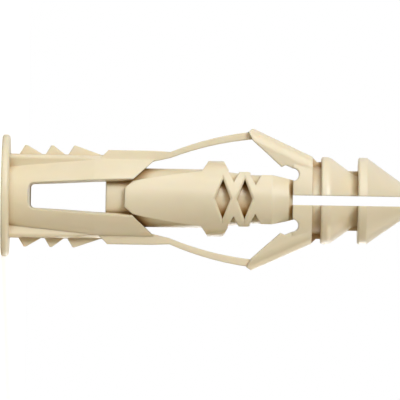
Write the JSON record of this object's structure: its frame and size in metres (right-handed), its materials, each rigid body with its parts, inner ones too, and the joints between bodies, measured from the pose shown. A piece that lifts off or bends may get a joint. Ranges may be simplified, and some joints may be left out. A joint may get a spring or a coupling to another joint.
{
  "type": "universal wall plug",
  "caption": "Moulded plastic wall plug with a flange, slotted sleeve, folding legs on elbows, a core the screw draws back and a split barbed nose.",
  "frame": {"origin": "centre of the flange's outer face, on which the plug stands", "axes": "+Z along the plug's axis from the flange to the nose, X across the two legs, Y through the windows, front and back"},
  "size_m": [0.013, 0.0112, 0.0365],
  "materials": {
    "plastic": "moulded nylon, satin"
  },
  "bodies": {
    "root": {"wall_plug": "plastic"}
  },
  "joints": []
}
